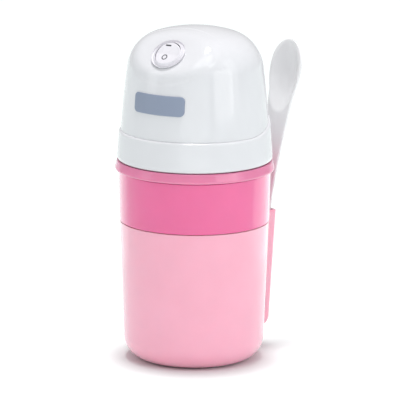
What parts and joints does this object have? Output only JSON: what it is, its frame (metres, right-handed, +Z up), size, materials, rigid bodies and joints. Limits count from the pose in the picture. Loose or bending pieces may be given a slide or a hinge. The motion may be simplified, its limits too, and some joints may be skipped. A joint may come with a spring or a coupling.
{
  "type": "ice cream maker",
  "caption": "Upright worktop ice cream maker: insulated sleeve, lift-out freezer bowl, mixing lid with paddle, domed motor unit with round rocker switch, and a spoon in a side pocket.",
  "frame": {"origin": "centre of the non-slip pad's underside, on the machine's axis, at the surface it stands on", "axes": "+Z up along the machine's axis, front (switch and badge) towards -Y, spoon pocket towards +Y and a little to +X"},
  "size_m": [0.1136, 0.1421, 0.2408],
  "materials": {
    "light_pink_shell": "glossy translucent light pink plastic",
    "deep_pink_shell": "glossy deep pink plastic",
    "white_shell": "glossy white plastic",
    "spoon_white": "translucent white plastic",
    "badge_blue": "satin grey-blue plate",
    "natural_plastic": "unpainted white plastic",
    "black_plastic": "black moulded plastic",
    "rubber_grey": "grey silicone rubber",
    "steel": "machined steel",
    "aluminium": "drawn aluminium",
    "brass": "brass",
    "copper_iron": "wound iron core",
    "gel": "freezing gel",
    "board_green": "glass fibre board",
    "wire_red": "insulated wire",
    "wire_blue": "insulated wire"
  },
  "bodies": {
    "base": {"base_sleeve": "light_pink_shell", "base_pad": "rubber_grey", "spoon_holder": "light_pink_shell"},
    "freezer_bowl": {"bowl_shell": "deep_pink_shell", "bowl_rim_ring": "deep_pink_shell", "bowl_liner": "aluminium", "bowl_rim_gasket": "rubber_grey", "bowl_fill_plug": "rubber_grey", "coolant_gel": "gel"},
    "lid": {"mixing_lid": "natural_plastic"},
    "motor_unit": {"motor_base": "white_shell", "motor_cover": "white_shell", "badge_plate": "badge_blue", "cord_gland": "white_shell", "switch_bezel": "white_shell", "switch_body": "black_plastic", "switch_terminal_left": "brass", "switch_terminal_right": "brass", "gearbox_housing": "natural_plastic", "gearbox_cover": "natural_plastic", "idler_pin": "steel", "output_bush": "brass", "shaft_seal": "black_plastic", "motor_can": "steel", "motor_end_cap": "black_plastic", "motor_magnet": "black_plastic", "power_board": "board_green", "filter_capacitor": "black_plastic", "lead_live": "wire_red", "lead_neutral": "wire_blue", "lead_switched": "wire_red", "lead_motor_red": "wire_red", "lead_motor_blue": "wire_blue", "cover_screw_1": "steel", "cover_screw_2": "steel", "cover_screw_3": "steel", "cover_screw_4": "steel", "gearbox_screw_1": "steel", "gearbox_screw_2": "steel", "gearbox_screw_3": "steel", "motor_screw_1": "steel", "motor_screw_2": "steel"},
    "rocker": {"switch_rocker": "white_shell"},
    "output": {"output_gear": "natural_plastic", "output_shaft": "steel", "paddle": "natural_plastic"},
    "idler": {"idler_gear": "natural_plastic"},
    "rotor": {"motor_pinion": "brass", "motor_shaft": "steel", "motor_armature": "copper_iron"},
    "spoon": {"spoon": "spoon_white"}
  },
  "joints": [
    {"name": "bowl_lift", "type": "slide", "parent": "base", "child": "freezer_bowl", "axis": [0, 0, 1], "range_m": [0, 0.11]},
    {"name": "lid_lift", "type": "slide", "parent": "freezer_bowl", "child": "lid", "axis": [0, 0, 1], "range_m": [0, 0.13]},
    {"name": "motor_unit_twist", "type": "hinge", "parent": "lid", "child": "motor_unit", "pos_m": [0, 0, 0.15], "axis": [0, 0, 1], "range_deg": [0, 20]},
    {"name": "switch_rock", "type": "hinge", "parent": "motor_unit", "child": "rocker", "pos_m": [0, -0.03476, 0.22483], "axis": [-1, 0, 0], "range_deg": [0, 16]},
    {"name": "paddle_spin", "type": "hinge", "parent": "motor_unit", "child": "output", "pos_m": [0, 0, 0.16], "axis": [0, 0, 1], "continuous": true},
    {"name": "idler_spin", "type": "hinge", "parent": "motor_unit", "child": "idler", "pos_m": [-0.01434, 0.02048, 0.16], "axis": [0, 0, 1], "continuous": true},
    {"name": "rotor_spin", "type": "hinge", "parent": "motor_unit", "child": "rotor", "pos_m": [0.00966, 0.02048, 0.16], "axis": [0, 0, 1], "continuous": true},
    {"name": "spoon_pull", "type": "slide", "parent": "base", "child": "spoon", "axis": [0.0357, 0.0929, 0.995], "range_m": [0, 0.08]}
  ],
  "couplings": [
    {"joint": "idler_spin", "follows": "paddle_spin", "ratio": -4},
    {"joint": "rotor_spin", "follows": "paddle_spin", "ratio": 15.2}
  ]
}
